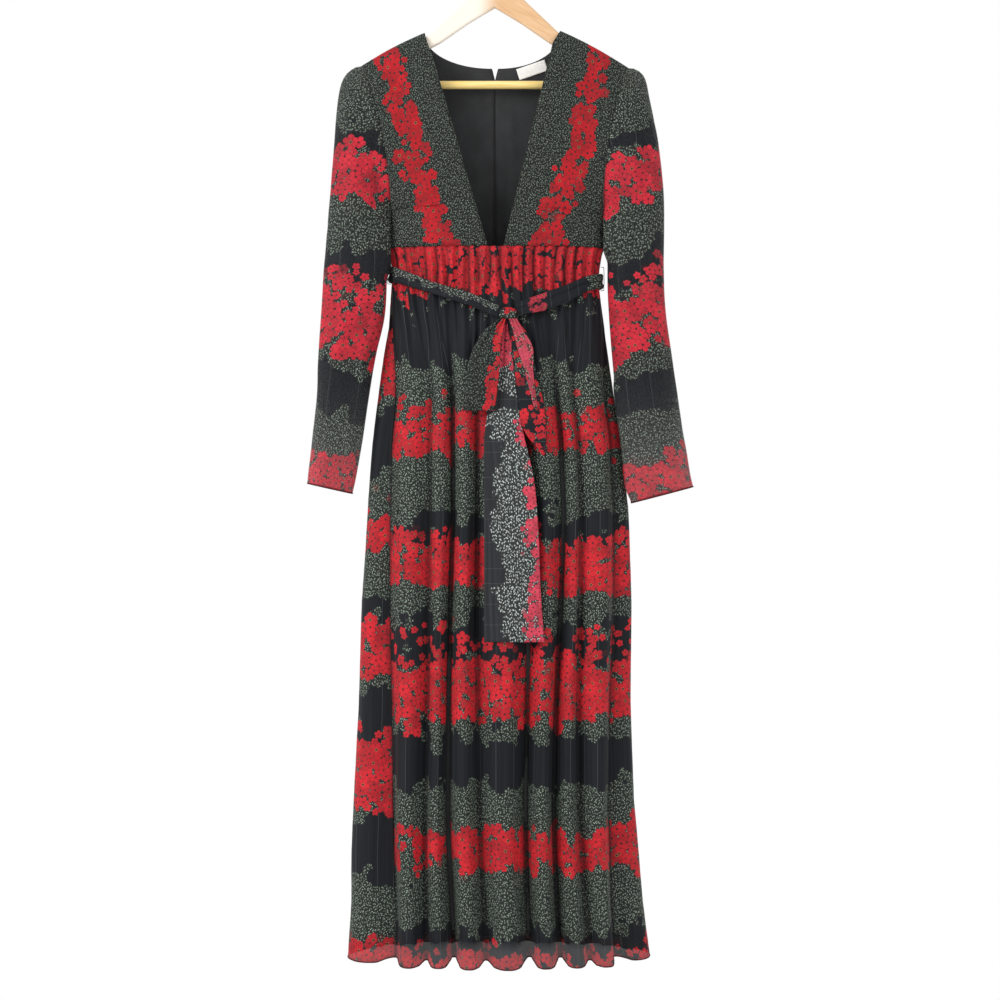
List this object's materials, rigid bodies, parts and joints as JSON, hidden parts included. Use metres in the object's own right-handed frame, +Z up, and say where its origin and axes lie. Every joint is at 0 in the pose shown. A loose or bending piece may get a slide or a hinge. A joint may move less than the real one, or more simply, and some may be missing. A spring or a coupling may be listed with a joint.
{
  "type": "maxi dress on hanger",
  "caption": "Long-sleeved maxi dress with a deep V neck, empire seam, gathered floor-length skirt and tie belt with a bow, hung on a wooden hanger with a trouser bar.",
  "frame": {"origin": "inner top of the hanger's hook, where a rail bears", "axes": "+X to the right of the dress seen from its front, -Y towards its front, +Z up"},
  "size_m": [0.574, 0.1537, 1.5185],
  "materials": {
    "printed_chiffon": "matt crinkled chiffon, black ground with red flowers and small grey-green leaves",
    "black_lining": "smooth matt black lining",
    "black_thread": "matt black thread chain",
    "white_woven_label": "plain white woven ribbon, blank",
    "zip_tape": "matt black woven tape",
    "zip_metal": "black semi-gloss enamel",
    "pale_wood": "satin clear varnish",
    "yellow_wood": "satin clear varnish",
    "hook_steel": "bright plated steel"
  },
  "bodies": {
    "garment": {"bodice_front_left": "printed_chiffon", "bodice_front_right": "printed_chiffon", "bodice_back_left": "printed_chiffon", "bodice_back_right": "printed_chiffon", "sleeve_left": "printed_chiffon", "sleeve_right": "printed_chiffon", "skirt_front": "printed_chiffon", "skirt_back_left": "printed_chiffon", "skirt_back_right": "printed_chiffon", "belt_front_left": "printed_chiffon", "belt_front_right": "printed_chiffon", "belt_back": "printed_chiffon", "belt_knot": "printed_chiffon", "bow_loop_left": "printed_chiffon", "bow_loop_right": "printed_chiffon", "belt_tail_long": "printed_chiffon", "belt_tail_short": "printed_chiffon", "bodice_lining_left": "black_lining", "bodice_lining_right": "black_lining", "skirt_lining_front": "black_lining", "skirt_lining_back": "black_lining", "thread_loop_left": "black_thread", "thread_loop_right": "black_thread", "zip_tape": "zip_tape", "zip_slider": "zip_metal", "neck_label": "white_woven_label", "hanger_arms": "pale_wood", "hanger_bar": "yellow_wood", "hanger_hook": "hook_steel"},
    "pull_tab": {"zip_pull_tab": "zip_metal"}
  },
  "joints": [
    {"name": "pull_tab_swing", "type": "hinge", "parent": "garment", "child": "pull_tab", "pos_m": [0, 0.02722, -0.2051], "axis": [1, 0, 0], "range_deg": [0, 155]}
  ]
}
